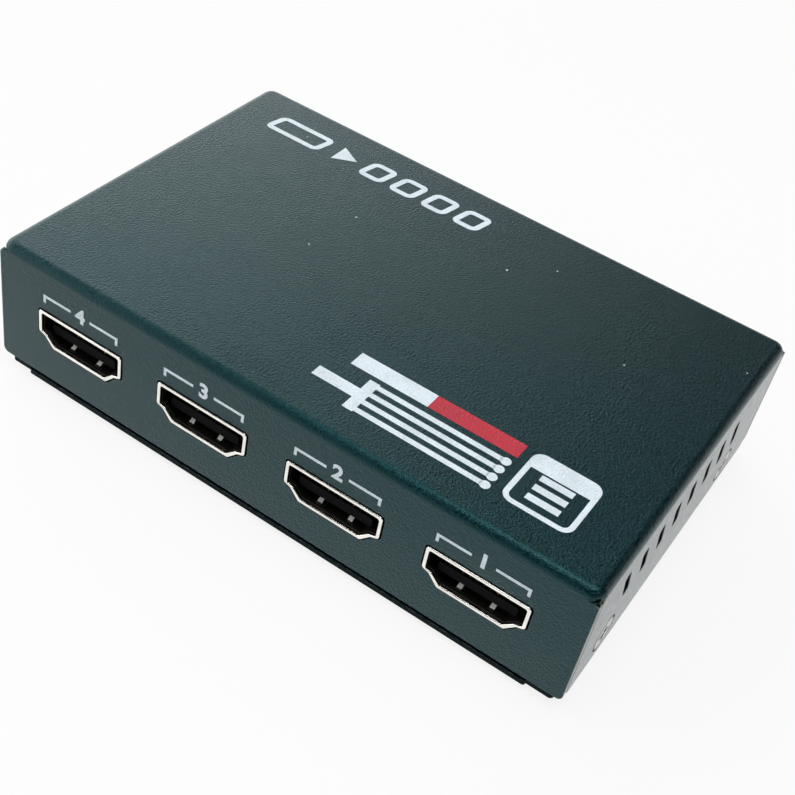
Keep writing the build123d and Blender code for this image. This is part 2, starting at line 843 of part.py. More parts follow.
# Electrolytic capacitors: aluminium cans on plastic bases
can_place_shares = ((0.417, 0.154), (0.417, 0.017))
can_diameter = 6.3
can_height = 7.0
can_neck = 0.3
can_neck_height = 1.6
base_size = 6.6
base_height = 0.8
can_edge = 0.5
can_places = board_spots(can_place_shares)

with BuildPart() as capacitor_cans:
    for place in can_places:
        with BuildSketch(Plane(origin=(*place, board_top + base_height))):
            Circle(can_diameter / 2)
        extrude(amount=can_height)
    fillet(capacitor_cans.faces().filter_by(Axis.Z).group_by(Axis.Z)[-1].edges(), radius=can_edge)
    for place in can_places:
        with BuildSketch(Plane(origin=(*place, board_top + base_height + can_neck_height))):
            Circle(can_diameter / 2 + overrun)
            Circle(can_diameter / 2 - can_neck, mode=Mode.SUBTRACT)
        extrude(amount=2 * can_neck, mode=Mode.SUBTRACT)

capacitor_cans.part.label = "capacitor_cans"
export_step(capacitor_cans.part, "parts/capacitor_cans.step")

with BuildPart() as capacitor_bases:
    with BuildSketch(Plane.XY.offset(board_top)):
        with Locations(can_places):
            Rectangle(base_size, base_size)
    extrude(amount=base_height)

capacitor_bases.part.label = "capacitor_bases"
export_step(capacitor_bases.part, "parts/capacitor_bases.step")
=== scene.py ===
from math import cos, pi, radians, sin

import bmesh
import bpy
from bpy.props import FloatProperty, FloatVectorProperty, PointerProperty
from mathutils import Matrix, Vector


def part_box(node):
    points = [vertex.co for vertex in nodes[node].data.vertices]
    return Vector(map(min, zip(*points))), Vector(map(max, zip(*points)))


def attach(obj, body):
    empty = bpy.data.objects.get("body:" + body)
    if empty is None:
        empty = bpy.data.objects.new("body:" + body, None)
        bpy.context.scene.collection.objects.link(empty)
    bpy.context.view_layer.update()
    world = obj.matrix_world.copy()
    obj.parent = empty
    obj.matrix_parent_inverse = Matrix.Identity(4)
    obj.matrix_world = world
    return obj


bl_info = {
    "name": "Video splitter in a bent-metal case",
    "version": (1, 0, 0),
    "blender": (4, 5, 0),
    "location": "3D View > Sidebar > Splitter",
    "description": "Finishes and printing for a one-to-four video splitter",
    "category": "Object",
}

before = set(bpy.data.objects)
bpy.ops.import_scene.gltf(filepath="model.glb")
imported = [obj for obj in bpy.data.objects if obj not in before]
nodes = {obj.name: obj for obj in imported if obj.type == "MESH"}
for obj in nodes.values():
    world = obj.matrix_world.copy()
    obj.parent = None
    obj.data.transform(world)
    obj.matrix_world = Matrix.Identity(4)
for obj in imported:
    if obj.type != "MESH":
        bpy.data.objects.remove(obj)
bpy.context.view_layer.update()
MM = 0.001
BODY = "case"
OUTPUTS = ("output_1", "output_2", "output_3", "output_4")
SOCKETS = OUTPUTS + ("input",)

cover_low, cover_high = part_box("top_cover")
cover_top = cover_high.z
front_wall = cover_low.y
rear_wall = cover_high.y
left_wall = cover_low.x
right_wall = cover_high.x

# Case: tones that lie on the coat, where edges are paler for wear and as a painted highlight, and
# how far in from a side wall an edge is rubbed and painted lighter as a highlight
EDGE_RUB_AND_GLINT_TONE = (0.3, 0.32, 0.3)
SIDE_RUB_AND_GLINT_TONE = (0.46, 0.44, 0.36)
DUST_TONE = (0.55, 0.58, 0.58)
RUB_AND_GLINT_START, RUB_AND_GLINT_FULL = 0.5 * MM, 0.15 * MM

# Sockets: height of a mouth, depth over which painted shade turns its walls dark, and the spring
# fingers, painted bright as highlights, which stand this far off the middle, give or take half
# their band
MOUTH_HEIGHT = 5.9 * MM
DARK_START, DARK_FULL = 0.3 * MM, 0.7 * MM
FINGER_OFFSET, FINGER_HALF_BAND = 2.05 * MM, 0.26 * MM
FINGER_SIDE_TURN = 0.4
# Painted shade inside the sockets, and painted highlight on their spring fingers
SOCKET_SHADE_TONE = (0.03, 0.027, 0.024)
FINGER_HIGHLIGHT_TONE = (1.0, 0.98, 0.94)

# Side screws: depth over which painted shade turns the driver recess dark, and the painted line of
# shade round the head, in from its rim
RECESS_START, RECESS_FULL = 0.02 * MM, 0.06 * MM
HEAD_LINE_START, HEAD_LINE_FULL, HEAD_LINE_DARK = 0.5 * MM, 0.3 * MM, 0.9
RECESS_SHADE_TONE = (0.02, 0.02, 0.02)
ZINC = (0.5, 0.5, 0.48)

# Metals: changes per metre along X, Y and Z, few along the streaks and many across them
CLOSE_ALONG_X = (6000.0, 900.0, 900.0)
CLOSE_ALONG_Y = (900.0, 5200.0, 900.0)
CLOSER_ALONG_Y = (900.0, 6000.0, 900.0)
FINE_WIRES = (9000.0, 900.0, 9000.0)
DIPPED = (2600.0, 2600.0, 900.0)
EVEN = (2600.0, 2600.0, 2600.0)

# Mouldings on the board: name, colour, gloss, grain per metre, bump and the nodes
BOARD_MOULDINGS = (
    ("chip_resin", (0.022, 0.022, 0.024), 0.55, 4000.0, 0.000008,
     ("splitter_chip", "control_chip", "memory_chips", "voltage_regulators", "surge_arrays")),
    ("capacitor_ceramic", (0.42, 0.28, 0.16), 0.45, 3000.0, 0.000004, ("ceramic_capacitors",)),
    ("resistor_glaze", (0.02, 0.02, 0.024), 0.25, 3000.0, 0.000002, ("chip_resistors",)),
    ("pressed_ferrite", (0.09, 0.09, 0.095), 0.65, 3500.0, 0.00002, ("power_inductor",)),
    ("silicone_pad", (0.42, 0.47, 0.52), 0.7, 1800.0, 0.00001, ("thermal_pad",)),
    ("capacitor_base_moulding", (0.02, 0.02, 0.022), 0.5, 4000.0, 0.000005,
     ("capacitor_bases",)),
)

# Port labels, as shares of the number's height
LINE_STROKE, LINE_GAP, LINE_DROP = 0.19, 0.75, 0.5
DIGIT_OVER_SIZE, DIGIT_SWELL = 0.7, 0.055

# Printing on the top, in millimetres from its rear left corner; a box is its left, low,
# right and high edges
INPUT_BOX = (7.2, -10.6, 17.4, -5.9)
OUTPUT_BOXES = [(left, -10.6, left + 4.5, -5.9) for left in (25.2, 31.0, 36.8, 42.6)]
BOX_STROKE, BOX_CORNER, BOX_LEAN = 0.95, 1.2, 0.18
ARROW_PLACE, ARROW_RADIUS = (21.0, -8.25), 2.4
STEM, TRUNK = (47.2, -53.2, 53.6, -51.25), (53.6, -55.5, 55.2, -48.95)
BRANCH_START, BRANCH_END, BRANCH_HALF_STROKE = 55.2, 73.9, 0.42
BRANCH_ROWS = (-49.6, -51.35, -53.1, -54.85)
TIP_REACH, TIP_RADIUS = 0.6, 0.72
WHITE_BAR, RED_BAR = (49.9, -48.1, 61.9, -45.3), (61.9, -48.1, 75.3, -45.3)
PANEL_BOX, PANEL_STROKE, PANEL_CORNER = (76.6, -55.3, 86.5, -45.1), 0.75, 1.6
PANEL_BAND, BAND_CORNER, BAND_MIDDLE = (77.35, -48.2, 85.75, -45.85), 0.85, -47
PANEL_LINES = [(79.2, low, 83.9, low + 1.1) for low in (-53.4, -51.5, -49.6)]

# Stage: lamps as name, place, size and watts; the floor; the room's light by direction
LAMPS = (("side_fill", (-0.95, -0.42, 0.1), 1.5, 13.0), ("top_fill", (0.08, -0.08, 0.85), 0.5, 5.0))
LAMP_AIM = Vector((0, 0, 0.01))
FLOOR_RADIUS, FLOOR_GLOW = 3.0, 0.86
WINDOW_EDGE, WINDOW_FULL, WINDOW_LIGHT = 0.75, 0.96, 2.0
HORIZON_FULL, HORIZON_EDGE, HORIZON_LIGHT, ROOM_LIGHT = 0.02, 0.14, 1.0, 0.02


def socket_middle(name):
    """Sideways middle of a socket's shell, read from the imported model."""
    low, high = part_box(name + "_shell")
    return (low.x + high.x) / 2


def mm(*values):
    """Millimetres as metres."""
    return [value * MM for value in values]


def link(piece, material):
    """Put a finished piece on the case, with its finish."""
    bpy.context.scene.collection.objects.link(piece)
    piece.data.materials.clear()
    piece.data.materials.append(material)
    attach(piece, BODY)
    return piece


def mesh_piece(name, bm):
    """Turn a bmesh into an object with flat faces."""
    mesh = bpy.data.meshes.new(name)
    bm.to_mesh(mesh)
    bm.free()
    for face in mesh.polygons:
        face.use_smooth = False
    return bpy.data.objects.new(name, mesh)


# Settings


class CoatSettings(bpy.types.PropertyGroup):
    colour: FloatVectorProperty(
        name="Coat colour", description="Powder coat of the case", subtype="COLOR",
        size=3, min=0, max=1, default=(0.001, 0.009, 0.012),
    )
    tray_colour: FloatVectorProperty(
        name="Tray colour", description="Powder coat of the tray", subtype="COLOR",
        size=3, min=0, max=1, default=(0.006, 0.012, 0.015),
    )
    grain: FloatProperty(
        name="Coat grain", description="Pitch of the coat's fine bumps",
        unit="LENGTH", default=0.00032,
    )
    relief: FloatProperty(
        name="Coat relief", description="Height of the coat's fine bumps",
        unit="LENGTH", default=0.000045,
    )


class PrintSettings(bpy.types.PropertyGroup):
    ink: FloatVectorProperty(
        name="White ink", description="Bluish white of the printing", subtype="COLOR",
        size=3, min=0, max=1, default=(0.76, 0.86, 0.92),
    )
    accent: FloatVectorProperty(
        name="Red ink", description="Red of the bar on the top", subtype="COLOR",
        size=3, min=0, max=1, default=(0.52, 0.022, 0.045),
    )
    digit_height: FloatProperty(
        name="Port number height", description="Height of the numbers over the outputs",
        unit="LENGTH", default=0.0023,
    )
    label_drop: FloatProperty(
        name="Port number drop", description="Middle of the numbers below the top",
        unit="LENGTH", default=0.0052,
    )
    label_width: FloatProperty(
        name="Port label width", description="Width of a number with its two lines",
        unit="LENGTH", default=0.0134,
    )
    film: FloatProperty(
        name="Ink thickness", description="Thickness of the film on the front",
        unit="LENGTH", default=0.00003,
    )


class StageSettings(bpy.types.PropertyGroup):
    lens: FloatProperty(name="Lens", description="Focal length in millimetres", default=60.5)
    distance: FloatProperty(
        name="Distance", description="Camera to its aim", unit="LENGTH", default=0.190548,
    )
    azimuth: FloatProperty(
        name="Azimuth", description="Camera's turn round the upright axis",
        subtype="ANGLE", default=radians(26.295),
    )
    elevation: FloatProperty(
        name="Elevation", description="Camera's height as an angle",
        subtype="ANGLE", default=radians(41.284),
    )
    roll: FloatProperty(
        name="Roll", description="Camera's turn round its own axis",
        subtype="ANGLE", default=radians(-11.594),
    )
    aim: FloatVectorProperty(
        name="Aim", description="Point that the camera looks at", subtype="TRANSLATION",
        size=3, default=(0.000751, -0.005626, 0.011),
    )
    window: FloatVectorProperty(
        name="Window", description="Side of the room that is bright", subtype="DIRECTION",
        size=3, default=(-0.755, 0.554, 0.352),
    )
    shift: FloatProperty(
        name="Shift", description="Shift of the lens, sideways and down", default=0.0285,
    )


# Shader helpers


def group_tree(name, inputs, outputs):
    """New shader node group with named sockets."""
    tree = bpy.data.node_groups.new(name, "ShaderNodeTree")
    for socket, kind, value in inputs:
        made = tree.interface.new_socket(socket, in_out="INPUT", socket_type=kind)
        if value is not None:
            made.default_value = value
    for socket, kind in outputs:
        tree.interface.new_socket(socket, in_out="OUTPUT", socket_type=kind)
    return tree, tree.nodes.new("NodeGroupInput"), tree.nodes.new("NodeGroupOutput")


def set_inputs(node, values):
    """Write plain values on a node's sockets, with _ for a space in their names."""
    for key, value in values.items():
        node.inputs[key.replace("_", " ")].default_value = value


def feed(tree, socket, value):
    """Link another socket to a socket, or write a plain value on it."""
    if hasattr(value, "links"):
        tree.links.new(value, socket)
    else:
        socket.default_value = value


def place(tree, kind, **values):
    """New node with its settings and plain input values."""
    node = tree.nodes.new(kind)
    settings = [key for key in values if hasattr(node, key)]
    for key in settings:
        setattr(node, key, values.pop(key))
    set_inputs(node, values)
    return node


def object_place(tree):
    """Place on the object, which stays the same from every side."""
    return tree.nodes.new("ShaderNodeTexCoord").outputs["Object"]


def parts(tree, vector):
    """X, Y and Z of a vector."""
    split = tree.nodes.new("ShaderNodeSeparateXYZ")
    tree.links.new(vector, split.inputs[0])
    return split.outputs


def noise(tree, vector, scale, detail=2.0, rough=0.5):
    """Noise on a vector."""
    node = place(tree, "ShaderNodeTexNoise", Scale=scale, Detail=detail, Roughness=rough)
    tree.links.new(vector, node.inputs["Vector"])
    return node.outputs["Fac"]


def ramp(tree, value, low, high, to_low=0.0, to_high=1.0):
    """Clamped linear ramp of a value."""
    node = place(
        tree, "ShaderNodeMapRange", From_Min=low, From_Max=high, To_Min=to_low, To_Max=to_high
    )
    tree.links.new(value, node.inputs["Value"])
    return node.outputs["Result"]


def sums(tree, operation, a, b=0.0):
    """Math on one or two values or sockets."""
    node = place(tree, "ShaderNodeMath", operation=operation)
    for socket, value in zip(node.inputs, (a, b)):
        feed(tree, socket, value)
    return node.outputs[0]


def product(tree, a, b):
    """Product of two values or sockets."""
    return sums(tree, "MULTIPLY", a, b)


def vectors(tree, operation, a, b):
    """Vector math on a vector and a vector, or on a vector and a scale."""
    node = place(tree, "ShaderNodeVectorMath", operation=operation)
    feed(tree, node.inputs[0], a)
    feed(tree, node.inputs["Scale" if operation == "SCALE" else 1], b)
    return node.outputs["Value" if operation == "DOT_PRODUCT" else "Vector"]


def in_pitches(tree, pitch):
    """Place on the object, counted in pitches."""
    gather = tree.nodes.new("ShaderNodeCombineXYZ")
    for socket in gather.inputs:
        tree.links.new(pitch, socket)
    return vectors(tree, "DIVIDE", object_place(tree), gather.outputs[0])


def mixed(tree, factor, a, b):
    """Colour mix of two colours or sockets."""
    node = place(tree, "ShaderNodeMix", data_type="RGBA")
    feed(tree, node.inputs[0], factor)
    for socket, colour in ((node.inputs[6], a), (node.inputs[7], b)):
        feed(tree, socket, colour if hasattr(colour, "links") else (*colour, 1.0))
    return node.outputs[2]


COLOUR, VALUE, VECTOR = "NodeSocketColor", "NodeSocketFloat", "NodeSocketVector"
SURFACE = (("Colour", COLOUR), ("Roughness", VALUE), ("Height", VALUE))


def put_out(tree, given, out, shade, unevenness, height):
    """Send out a surface effect: the colour shaded, the gloss made uneven, and the height."""
    tree.links.new(vectors(tree, "SCALE", given.outputs["Colour"], shade), out.inputs["Colour"])
    gloss = sums(tree, "ADD", given.outputs["Gloss Base"], unevenness)
    tree.links.new(gloss, out.inputs["Roughness"])
    tree.links.new(height, out.inputs["Height"])
    return tree


def coat_grain_group():
    """Fine bumps of a powder coat, with painted shade in their hollows, a slow swell and a little
    uneven gloss.
    """
    tree, given, out = group_tree(
        "coat_grain",
        (("Colour", COLOUR, None), ("Pitch", VALUE, 0.0003), ("Gloss Base", VALUE, 0.42),
         ("Shade", VALUE, 0.4)),
        SURFACE,
    )
    at = in_pitches(tree, given.outputs["Pitch"])
    fine = noise(tree, at, scale=1.0, detail=2.5, rough=0.55)
    pits = noise(tree, at, scale=2.7, detail=1.0)
    swell = noise(tree, at, scale=0.11)
    height = sums(
        tree, "ADD", ramp(tree, fine, 0.34, 0.66), ramp(tree, pits, 0.35, 0.65, 0.0, 0.3)
    )
    # Painted shade: the colour darkens where the bumps are low, as far as the Shade input says
    hollow_shade = product(tree, ramp(tree, fine, 0.35, 0.6, 1.0, -0.2), given.outputs["Shade"])
    shade = product(
        tree, ramp(tree, swell, 0.3, 0.7, 0.93, 1.07), sums(tree, "SUBTRACT", 1.0, hollow_shade)
    )
    return put_out(tree, given, out, shade, ramp(tree, swell, 0.3, 0.7, -0.03, 0.03), height)


def edge_wear_group():
    """Mask of sharp edges, whole and broken up by noise."""
    tree, given, out = group_tree(
        "edge_rub_and_glint",
        (("Width", VALUE, 0.0002), ("Amount", VALUE, 0.5)),
        (("Mask", VALUE), ("Edge", VALUE)),
    )
    bevel = place(tree, "ShaderNodeBevel", samples=4)
    tree.links.new(given.outputs["Width"], bevel.inputs["Radius"])
    flat = tree.nodes.new("ShaderNodeNewGeometry")
    turn = vectors(tree, "DOT_PRODUCT", bevel.outputs[0], flat.outputs["Normal"])
    bent = ramp(tree, turn, 0.995, 0.92)
    broken = noise(tree, object_place(tree), scale=1400.0, detail=3.0, rough=0.6)
    rub_glint_mask = product(tree, bent, ramp(tree, broken, 0.42, 0.6))
    tree.links.new(product(tree, rub_glint_mask, given.outputs["Amount"]), out.inputs["Mask"])
    tree.links.new(bent, out.inputs["Edge"])
    return tree


def dust_group():
    """Sparse specks of dust, one in the middle of some cells."""
    tree, given, out = group_tree(
        "dust", (("Pitch", VALUE, 0.004), ("Size", VALUE, 0.03)), (("Mask", VALUE),)
    )
    cells = place(tree, "ShaderNodeTexVoronoi", Scale=1.0)
    tree.links.new(in_pitches(tree, given.outputs["Pitch"]), cells.inputs["Vector"])
    near = sums(tree, "LESS_THAN", cells.outputs["Distance"], given.outputs["Size"])
    tree.links.new(near, out.inputs["Mask"])
    return tree


def metal_grain_group():
    """Rolled or turned metal: fine streaks in gloss and tone."""
    tree, given, out = group_tree(
        "metal_grain",
        (("Colour", COLOUR, None), ("Stretch", VECTOR, (900.0, 900.0, 9000.0)),
         ("Gloss Base", VALUE, 0.25)),
        SURFACE,
    )
    at = object_place(tree)
    stretched = vectors(tree, "MULTIPLY", at, given.outputs["Stretch"])
    streak = noise(tree, stretched, scale=1.0, detail=3.0, rough=0.6)
    cloud = noise(tree, at, scale=420.0)
    shade = product(
        tree, ramp(tree, streak, 0.3, 0.7, 0.86, 1.04), ramp(tree, cloud, 0.3, 0.7, 0.93, 1.03)
    )
    return put_out(tree, given, out, shade, ramp(tree, streak, 0.3, 0.7, -0.05, 0.1), streak)


def moulded_group():
    """Moulded plastic or ceramic: fine spark texture and slightly cloudy tone."""
    tree, given, out = group_tree(
        "moulded",
        (("Colour", COLOUR, None), ("Grain Scale", VALUE, 6000.0), ("Gloss Base", VALUE, 0.5)),
        SURFACE,
    )
    at = vectors(tree, "SCALE", object_place(tree), given.outputs["Grain Scale"])
    spark = noise(tree, at, scale=1.0, detail=3.0, rough=0.6)
    cloud = noise(tree, at, scale=0.06)
    shade = product(
        tree, ramp(tree, spark, 0.3, 0.7, 0.85, 1.1), ramp(tree, cloud, 0.3, 0.7, 0.9, 1.08)
    )
    return put_out(tree, given, out, shade, ramp(tree, cloud, 0.3, 0.7, -0.06, 0.08), spark)


groups = {}


def shader_groups():
    """Build the shared effects once."""
    if not groups:
        groups["coat"] = coat_grain_group()
        groups["rub_and_glint"] = edge_wear_group()
        groups["dust"] = dust_group()
        groups["metal"] = metal_grain_group()
        groups["moulded"] = moulded_group()
    return groups


def new_material(name, **values):
    """Material with a plain shader, its fixed values on the shader's own sockets."""
    material = bpy.data.materials.new(name)
    material.use_nodes = True
    shader = material.node_tree.nodes["Principled BSDF"]
    set_inputs(shader, values)
    return material, material.node_tree, shader


def placed_group(tree, kind, **values):
    """Put a shared effect in a material with its own values."""
    node = tree.nodes.new("ShaderNodeGroup")
    node.node_tree = shader_groups()[kind]
    set_inputs(node, values)
    return node.outputs


def dress(tree, shader, tone, grain, height, distance):
    """Give a shader its tone, an effect's gloss, and bump from a height."""
    tree.links.new(tone, shader.inputs["Base Color"])
    tree.links.new(grain["Roughness"], shader.inputs["Roughness"])
    bump = place(tree, "ShaderNodeBump", Strength=1.0, Distance=distance)
    tree.links.new(height, bump.inputs["Height"])
    tree.links.new(bump.outputs[0], shader.inputs["Normal"])


def darken(tree, shader, dark, tone, gloss):
    """Paint shade: turn a finished shader to a dark, matt tone where a mask is one."""
    fed = {name: shader.inputs[name].links[0].from_socket for name in ("Base Color", "Roughness")}
    dulled = sums(tree, "MAXIMUM", fed["Roughness"], product(tree, dark, gloss))
    tree.links.new(dulled, shader.inputs["Roughness"])
    return mixed(tree, dark, fed["Base Color"], tone)


# Materials


def coat_material(name, colour, pitch, height, gloss, shine, dusty):
    """Powder coat with fine bumps, painted shade in their hollows, and paler edges that are partly
    wear and partly painted highlight, with specks of dust where it is dusty.
    """
    material, tree, shader = new_material(
        name, Specular_IOR_Level=0.4 * shine, Specular_Tint=(0.25, 1.0, 1.08, 1),
        Coat_Weight=0.22 * shine, Coat_Roughness=0.16, Coat_IOR=1.25,
    )
    grain = placed_group(tree, "coat", Colour=(*colour, 1), Pitch=pitch, Gloss_Base=gloss)
    rub_glint_mask = placed_group(tree, "rub_and_glint", Width=0.0002, Amount=0.3)
    # Paler edges: wear, and a painted highlight along them
    tone = mixed(tree, rub_glint_mask["Mask"], grain["Colour"], EDGE_RUB_AND_GLINT_TONE)
    # Paler line along edges near the side walls: rubbing, and a painted highlight
    sideways = sums(tree, "ABSOLUTE", parts(tree, object_place(tree))["X"])
    by_wall = ramp(tree, sideways, right_wall - RUB_AND_GLINT_START, right_wall - RUB_AND_GLINT_FULL, 0.0, 0.8)
    tone = mixed(tree, product(tree, rub_glint_mask["Edge"], by_wall), tone, SIDE_RUB_AND_GLINT_TONE)
    if dusty:
        dust = placed_group(tree, "dust", Pitch=0.0062, Size=0.02)
        tone = mixed(tree, dust["Mask"], tone, DUST_TONE)
    dress(tree, shader, tone, grain, grain["Height"], height)
    return material


def metal_material(name, colour, gloss, stretch, bump=0.000003):
    """Plated or bare metal with fine streaks."""
    material, tree, shader = new_material(name, Metallic=1.0)
    grain = placed_group(tree, "metal", Colour=(*colour, 1), Stretch=stretch, Gloss_Base=gloss)
    rub_glint_mask = placed_group(tree, "rub_and_glint", Width=0.00008, Amount=0.4)
    bright = [min(1, part * 1.15) for part in colour]
    tone = mixed(tree, rub_glint_mask["Mask"], grain["Colour"], bright)
    dress(tree, shader, tone, grain, grain["Height"], bump)
    return material


def moulded_material(name, colour, gloss, scale, bump, **values):
    """Moulded or fired material with a fine surface."""
    material, tree, shader = new_material(name, **values)
    grain = placed_group(tree, "moulded", Colour=(*colour, 1), Grain_Scale=scale, Gloss_Base=gloss)
    rub_glint_mask = placed_group(tree, "rub_and_glint", Width=0.0001, Amount=0.3)
    pale = [min(1, part * 1.8 + 0.01) for part in colour]
    tone = mixed(tree, rub_glint_mask["Mask"], grain["Colour"], pale)
    dress(tree, shader, tone, grain, grain["Height"], bump)
    return material


def ink_material(name, colour, pitch, height):
    """Printing ink that lies over the coat's bumps, with a little painted shade in their hollows,
    thinner in places.
    """
    material, tree, shader = new_material(name, Specular_IOR_Level=0.4)
    # Shade sets the painted shade in the bumps' hollows
    grain = placed_group(
        tree, "coat", Colour=(*colour, 1), Pitch=pitch, Gloss_Base=0.45, Shade=0.1
    )
    patches = noise(tree, object_place(tree), scale=2600.0, detail=3.0, rough=0.6)
    thin = ramp(tree, patches, 0.56, 0.75, 0.0, 0.3)
    tone = mixed(tree, thin, grain["Colour"], [part * 0.72 for part in colour])
    dress(tree, shader, tone, grain, grain["Height"], height)
    return material


def mask_material(height, colour, track_colour):
    """Solder mask over copper tracks, laid out like bricks."""
    material, tree, shader = new_material("solder_mask", Coat_Weight=0.4, Coat_Roughness=0.15)
    grain = placed_group(tree, "moulded", Colour=(*colour, 1), Grain_Scale=1600.0, Gloss_Base=0.35)
    tracks = place(
        tree, "ShaderNodeTexBrick", Scale=260.0, Mortar_Size=0.06,
        Color1=(0, 0, 0, 1), Color2=(0, 0, 0, 1), Mortar=(1, 1, 1, 1),
    )
    tree.links.new(object_place(tree), tracks.inputs["Vector"])
    track = tracks.outputs["Fac"]
    dress(tree, shader, mixed(tree, track, grain["Colour"], track_colour), grain, track, height)
    return material


def dull_inside(material):
    """Painted shade on the walls inside a socket, dark and matt with depth, and painted highlight
    on the raised spring fingers, white and not metallic.
    """
    tree = material.node_tree
    shader = tree.nodes["Principled BSDF"]
    low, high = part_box("output_1_shell")
    at = parts(tree, object_place(tree))
    lengthways = sums(tree, "ABSOLUTE", at["Y"])
    deep = ramp(tree, lengthways, -low.y - DARK_START, -low.y - DARK_FULL)
    off_middle = sums(tree, "SUBTRACT", at["Z"], high.z - MOUTH_HEIGHT / 2)
    raised = sums(tree, "COMPARE", sums(tree, "ABSOLUTE", off_middle), FINGER_OFFSET)
    raised.node.inputs[2].default_value = FINGER_HALF_BAND
    facing = tree.nodes.new("ShaderNodeNewGeometry").outputs["True Normal"]
    side_turn = sums(tree, "ABSOLUTE", parts(tree, facing)["X"])
    finger = product(tree, raised, sums(tree, "LESS_THAN", side_turn, FINGER_SIDE_TURN))
    # Painted shade on the deep walls, painted highlight on the fingers
    painted_shade = product(tree, deep, sums(tree, "SUBTRACT", 1.0, finger))
    finger_highlight = product(tree, deep, finger)
    tone = darken(tree, shader, painted_shade, SOCKET_SHADE_TONE, 0.6)
    tree.links.new(mixed(tree, finger_highlight, tone, FINGER_HIGHLIGHT_TONE), shader.inputs["Base Color"])
    tree.links.new(sums(tree, "SUBTRACT", 1.0, finger_highlight), shader.inputs["Metallic"])


def dark_recess(material):
    """Painted shade in the driver recess and a painted dark line of shade round the head of a side
    screw.
    """
    tree = material.node_tree
    shader = tree.nodes["Principled BSDF"]
    low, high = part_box("side_screws")
    radius = (high.z - low.z) / 2
    at = parts(tree, object_place(tree))
    sideways = sums(tree, "ABSOLUTE", at["X"])
    sunk = ramp(tree, sideways, high.x - RECESS_START, high.x - RECESS_FULL)
    up = sums(tree, "SUBTRACT", at["Z"], (low.z + high.z) / 2)
    off_axis = []
    for middle in (low.y + radius, high.y - radius):
        along = sums(tree, "SUBTRACT", at["Y"], middle)
        squares = [sums(tree, "POWER", part, 2.0) for part in (along, up)]
        off_axis.append(sums(tree, "SQRT", sums(tree, "ADD", *squares)))
    rim = ramp(
        tree, sums(tree, "MINIMUM", *off_axis),
        radius - HEAD_LINE_START, radius - HEAD_LINE_FULL, 0.0, HEAD_LINE_DARK,
    )
    # Painted shade in the recess and round the head
    dark = sums(tree, "MAXIMUM", sunk, rim)
    tree.links.new(darken(tree, shader, dark, RECESS_SHADE_TONE, 0.7), shader.inputs["Base Color"])
    tree.links.new(sums(tree, "SUBTRACT", 1.0, dark), shader.inputs["Metallic"])
    tree.links.new(ramp(tree, dark, 0.0, 1.0, 0.5, 0.05), shader.inputs["Specular IOR Level"])


def finish(material, *names):
    """Give a material to CAD nodes."""
    for name in names:
        slots = nodes[name].material_slots
        if not slots:
            nodes[name].data.materials.append(material)
        for slot in slots:
            slot.material = material


# Printed shapes


def film_piece(name, bm, place_matrix, thickness, material):
    """Give flat printed shapes the thickness of ink and lay them on the case."""
    raised = bmesh.ops.extrude_face_region(bm, geom=bm.faces[:])["geom"]
    bmesh.ops.translate(
        bm, vec=(0, 0, thickness), verts=[v for v in raised if isinstance(v, bmesh.types.BMVert)]
    )
    bmesh.ops.transform(bm, matrix=place_matrix, verts=bm.verts)
    bmesh.ops.recalc_face_normals(bm, faces=bm.faces)
    return link(mesh_piece(name, bm), material)


def bar(bm, left, low, right, high, slant=0.0):
    """Flat bar, leaning sideways by its slant."""
    middle = Vector(((left + right) / 2, (low + high) / 2, 0))
    size = Matrix.Diagonal((right - left, high - low, 1, 1))
    made = bmesh.ops.create_grid(
        bm, x_segments=1, y_segments=1, size=0.5, matrix=Matrix.Translation(middle) @ size,
    )["verts"]
    lean = Matrix(((1, slant, 0, -slant * middle.y), (0, 1, 0, 0), (0, 0, 1, 0), (0, 0, 0, 1)))
    bmesh.ops.transform(bm, matrix=lean, verts=made)
    return made


def round_corners(bm, corners, offset):
    """Round some corners of a flat shape."""
    return bmesh.ops.bevel(
        bm, geom=corners, offset=offset, segments=5, profile=0.5, affect="VERTICES", material=-1
    )["verts"]


def ring(bm, left, low, right, high, stroke, corner, slant=0.0):
    """Flat outlined box with rounded corners."""
    rounded = round_corners(bm, bar(bm, left, low, right, high, slant), corner)
    face = max((f for v in rounded for f in v.link_faces), key=lambda f: f.calc_area())
    bmesh.ops.inset_region(
        bm, faces=[face], thickness=stroke, use_boundary=True, use_even_offset=True
    )
    bmesh.ops.delete(bm, geom=[face], context="FACES_ONLY")


def disc(bm, x, y, radius, segments, turn=0.0):
    """Flat disc, which is a triangle where it has three segments."""
    bmesh.ops.create_circle(
        bm, cap_ends=True, segments=segments, radius=radius,
        matrix=Matrix.Translation((x, y, 0)) @ Matrix.Rotation(turn, 4, "Z"),
    )


def digit_mesh(text, height):
    """Digit as a flat mesh about its middle."""
    curve = bpy.data.curves.new("digit", "FONT")
    curve.body = text
    curve.align_x = "CENTER"
    curve.align_y = "CENTER"
    curve.size = height / DIGIT_OVER_SIZE
    curve.offset = height * DIGIT_SWELL
    holder = bpy.data.objects.new("digit", curve)
    mesh = bpy.data.meshes.new_from_object(holder)
    bpy.data.objects.remove(holder)
    bpy.data.curves.remove(curve)
    return mesh


def port_label(number, ink):
    """Number between two lines that drop at their outer ends."""
    bm = bmesh.new()
    bm.from_mesh(digit_mesh(str(number), ink.digit_height))
    stroke = ink.digit_height * LINE_STROKE
    reach = ink.label_width / 2
    gap = ink.digit_height * LINE_GAP
    for side in (-1, 1):
        left, right = sorted((side * gap, side * reach))
        bar(bm, left, -stroke / 2, right, stroke / 2)
        left, right = sorted((side * reach, side * (reach - stroke)))
        bar(bm, left, -ink.digit_height * LINE_DROP, right, -stroke / 2)
    return bm


